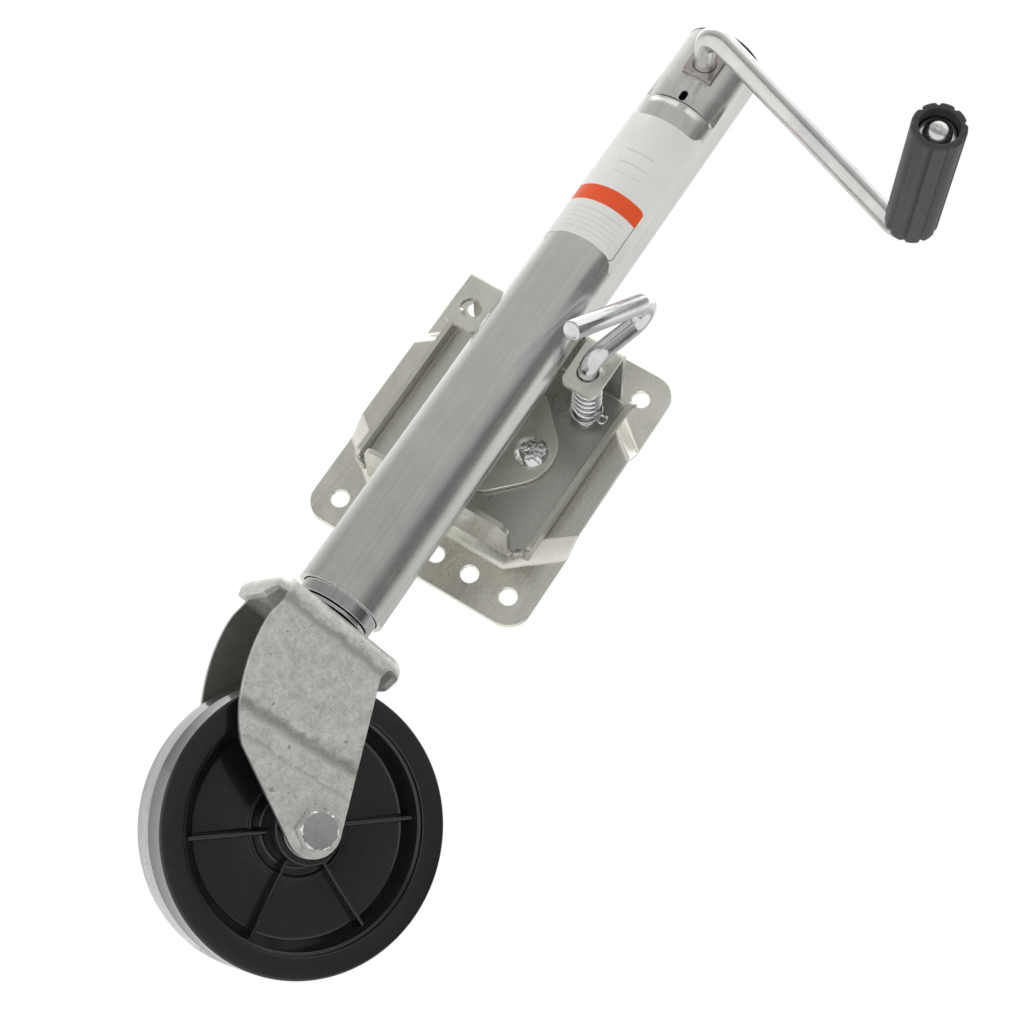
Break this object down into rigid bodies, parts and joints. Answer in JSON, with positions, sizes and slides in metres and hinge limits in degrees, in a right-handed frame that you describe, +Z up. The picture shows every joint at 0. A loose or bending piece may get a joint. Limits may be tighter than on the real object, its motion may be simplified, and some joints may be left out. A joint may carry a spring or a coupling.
{
  "type": "trailer tongue jack",
  "caption": "Bolt-on swivel trailer tongue jack: hand crank, bevel gears and screw extend a tube leg with a swivelling caster wheel; a sprung pin locks the swing bracket.",
  "frame": {"origin": "where the swing bracket's pivot axis meets the plane of the mount plate's flange backs", "axes": "+Z up along the leg tubes, +Y into the trailer frame along the pivot axis, +X to the crank arm's side"},
  "size_m": [0.2425, 0.2446, 0.5878],
  "materials": {
    "zinc_sheet": "zinc plated sheet, faintly yellow",
    "zinc_tube": "satin zinc plated tube",
    "matt_zinc": "matt mottled zinc",
    "bright_zinc": "bright zinc",
    "plain_steel": "machined, oiled",
    "black_plastic": "moulded, semi-gloss",
    "grip_plastic": "moulded, fluted",
    "label": "vinyl sticker with an orange band"
  },
  "bodies": {
    "mount_bracket": {"mount_plate": "zinc_sheet", "pivot_hub_ring": "plain_steel", "retainer_plate": "zinc_sheet", "retainer_rivet_right": "bright_zinc", "retainer_rivet_left": "bright_zinc"},
    "swing_head": {"swivel_bracket": "zinc_sheet", "outer_tube": "zinc_tube", "top_cap": "black_plastic", "label": "label", "crank_bush_front": "plain_steel", "crank_bush_rear": "plain_steel", "bearing_plate": "plain_steel", "thrust_race_lower": "plain_steel", "lock_spring": "bright_zinc"},
    "lock_pin_body": {"lock_pin": "bright_zinc", "lock_pin_washer": "bright_zinc", "lock_pin_cotter": "bright_zinc"},
    "crank": {"crank_rod": "bright_zinc", "grip_washer": "bright_zinc", "crank_pinion": "plain_steel", "pinion_pin": "plain_steel"},
    "grip": {"crank_grip": "grip_plastic"},
    "screw": {"lead_screw": "plain_steel", "screw_gear": "plain_steel", "gear_pin": "plain_steel", "thrust_race_upper": "plain_steel", "screw_stop": "plain_steel", "screw_stop_pin": "plain_steel"},
    "leg": {"inner_tube": "zinc_tube", "screw_nut": "plain_steel", "leg_end_plug": "plain_steel", "king_pin": "plain_steel", "swivel_washer": "bright_zinc"},
    "caster": {"caster_fork": "matt_zinc", "swivel_race": "plain_steel", "axle_bolt": "bright_zinc", "axle_nut": "bright_zinc", "axle_sleeve": "plain_steel", "hub_washer_near": "plain_steel", "hub_washer_far": "plain_steel"},
    "wheel": {"caster_wheel": "black_plastic"}
  },
  "joints": [
    {"name": "bracket_swing", "type": "hinge", "parent": "mount_bracket", "child": "swing_head", "pos_m": [0, -0.015, 0], "axis": [0, 1, 0], "range_deg": [-90, 90]},
    {"name": "lock_pin_slide", "type": "slide", "parent": "swing_head", "child": "lock_pin_body", "axis": [0, -1, 0], "range_m": [-0.004, 0.012], "stiffness_N_per_m": 800, "springref_m": -0.02, "deforming": ["lock_spring"]},
    {"name": "crank_turn", "type": "hinge", "parent": "swing_head", "child": "crank", "pos_m": [0, -0.1, 0.2275], "axis": [0, 1, 0], "range_deg": [0, 30240]},
    {"name": "screw_turn", "type": "hinge", "parent": "swing_head", "child": "screw", "pos_m": [0, -0.0755, 0.05], "axis": [0, 0, 1], "range_deg": [0, 20161]},
    {"name": "leg_slide", "type": "slide", "parent": "swing_head", "child": "leg", "axis": [0, 0, -1], "range_m": [0, 0.2541]},
    {"name": "grip_spin", "type": "hinge", "parent": "crank", "child": "grip", "pos_m": [0.15591, -0.19, 0.16765], "axis": [0, 1, 0], "continuous": true},
    {"name": "caster_swivel", "type": "hinge", "parent": "leg", "child": "caster", "pos_m": [0, -0.0755, -0.16], "axis": [0, 0, 1], "continuous": true},
    {"name": "wheel_spin", "type": "hinge", "parent": "caster", "child": "wheel", "pos_m": [0.04088, -0.05035, -0.2563], "axis": [0.524, -0.8517, 0], "continuous": true}
  ],
  "couplings": [
    {"joint": "screw_turn", "follows": "crank_turn", "ratio": 0.66667},
    {"joint": "leg_slide", "follows": "crank_turn", "m_per_rad": 0.00048125}
  ]
}
